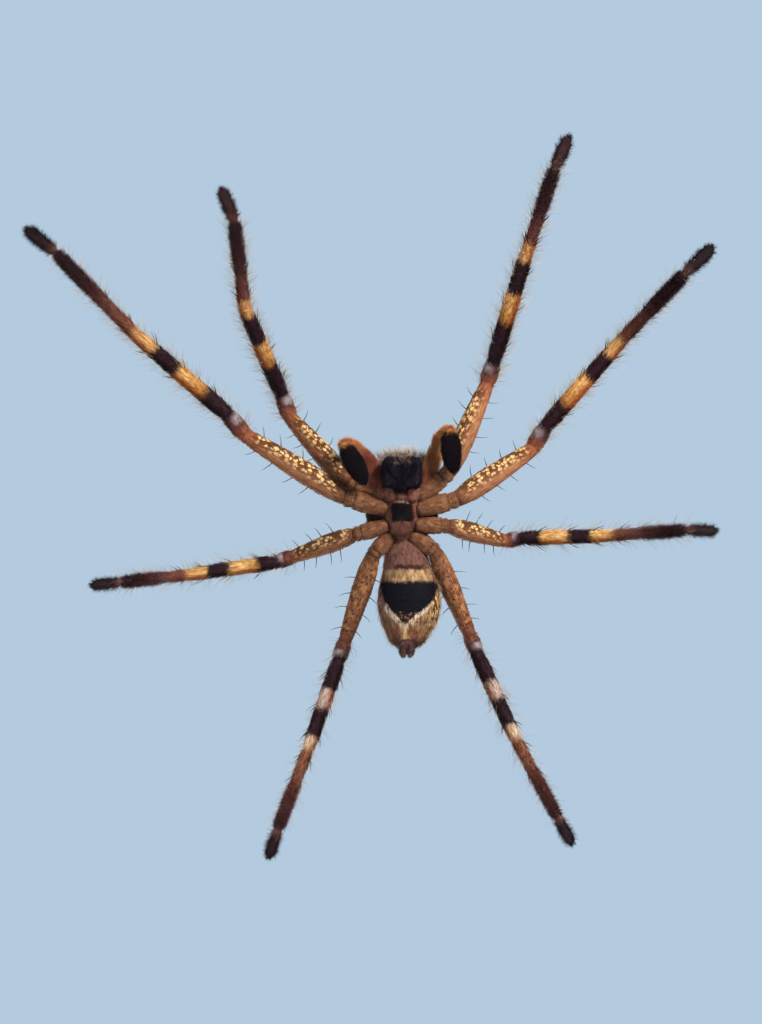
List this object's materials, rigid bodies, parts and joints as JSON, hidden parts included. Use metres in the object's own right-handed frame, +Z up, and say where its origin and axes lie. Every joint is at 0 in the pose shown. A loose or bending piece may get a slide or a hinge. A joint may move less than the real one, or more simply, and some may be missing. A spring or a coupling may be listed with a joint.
{
  "type": "huntsman spider",
  "caption": "Life-size still model of a huntsman spider, its banded and spiny legs spread wide, with a black badge across the pale belly.",
  "frame": {"origin": "on the floor under the middle of the stance", "axes": "+X to the spider's right, +Y forward, +Z up, out of its back"},
  "size_m": [0.078, 0.0814, 0.0157],
  "materials": {
    "carapace": "short grey-brown hair over brown cuticle",
    "abdomen": "short soft tan and cream hair with a black badge below",
    "chelicera": "near-black hair over glossy cuticle",
    "fang": "smooth dark red-brown horn",
    "palp": "orange-brown hair over cuticle",
    "pad": "dense matt black brush of short hair",
    "coxa": "tan-brown cuticle with short hair",
    "femur": "orange-tan with cream spots in a dark net",
    "patella": "brown with a pale patch",
    "tibia": "near-black with two yellow bands",
    "metatarsus": "red-brown turning dark towards the foot"
  },
  "bodies": {
    "root": {"prosoma": "carapace", "abdomen": "abdomen", "spinnerets": "carapace", "chelicera_right": "chelicera", "fang_right": "fang", "palp_right": "palp", "palp_tarsus_right": "pad", "chelicera_left": "chelicera", "fang_left": "fang", "palp_left": "palp", "palp_tarsus_left": "pad", "right_leg_1_coxa": "coxa", "right_leg_1_femur": "femur", "right_leg_1_patella": "patella", "right_leg_1_tibia": "tibia", "right_leg_1_metatarsus": "metatarsus", "right_leg_1_tarsus": "pad", "right_leg_2_coxa": "coxa", "right_leg_2_femur": "femur", "right_leg_2_patella": "patella", "right_leg_2_tibia": "tibia", "right_leg_2_metatarsus": "metatarsus", "right_leg_2_tarsus": "pad", "right_leg_3_coxa": "coxa", "right_leg_3_femur": "femur", "right_leg_3_patella": "patella", "right_leg_3_tibia": "tibia", "right_leg_3_metatarsus": "metatarsus", "right_leg_3_tarsus": "pad", "right_leg_4_coxa": "coxa", "right_leg_4_femur": "femur", "right_leg_4_patella": "patella", "right_leg_4_tibia": "tibia", "right_leg_4_metatarsus": "metatarsus", "right_leg_4_tarsus": "pad", "left_leg_1_coxa": "coxa", "left_leg_1_femur": "femur", "left_leg_1_patella": "patella", "left_leg_1_tibia": "tibia", "left_leg_1_metatarsus": "metatarsus", "left_leg_1_tarsus": "pad", "left_leg_2_coxa": "coxa", "left_leg_2_femur": "femur", "left_leg_2_patella": "patella", "left_leg_2_tibia": "tibia", "left_leg_2_metatarsus": "metatarsus", "left_leg_2_tarsus": "pad", "left_leg_3_coxa": "coxa", "left_leg_3_femur": "femur", "left_leg_3_patella": "patella", "left_leg_3_tibia": "tibia", "left_leg_3_metatarsus": "metatarsus", "left_leg_3_tarsus": "pad", "left_leg_4_coxa": "coxa", "left_leg_4_femur": "femur", "left_leg_4_patella": "patella", "left_leg_4_tibia": "tibia", "left_leg_4_metatarsus": "metatarsus", "left_leg_4_tarsus": "pad"}
  },
  "joints": []
}
